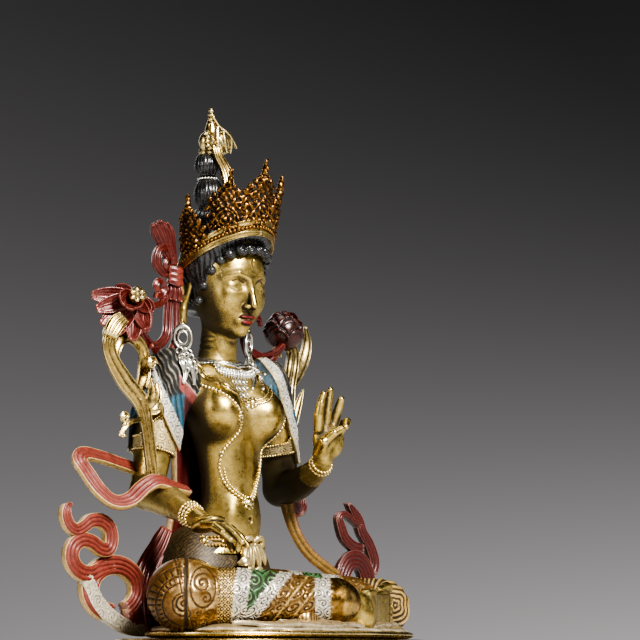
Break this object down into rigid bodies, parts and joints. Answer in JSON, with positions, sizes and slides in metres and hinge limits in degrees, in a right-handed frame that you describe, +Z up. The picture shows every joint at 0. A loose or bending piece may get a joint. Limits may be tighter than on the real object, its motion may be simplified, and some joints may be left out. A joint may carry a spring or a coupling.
{
  "type": "seated tara figure",
  "caption": "Seated Tara figure of painted cast gilt brass, one hand lowered and one raised, with flowering lotus stems, on a low oval lotus base it rests on.",
  "frame": {"origin": "middle of the base's underside, under the middle of its oval", "axes": "+Z up, the figure faces -Y, its right hand is on -X"},
  "size_m": [0.2448, 0.147, 0.3361],
  "materials": {
    "figure": "antique gilt brass with worn paint",
    "base": "antique gilt brass"
  },
  "bodies": {
    "root": {"figure": "figure", "lotus_base": "base"}
  },
  "joints": []
}
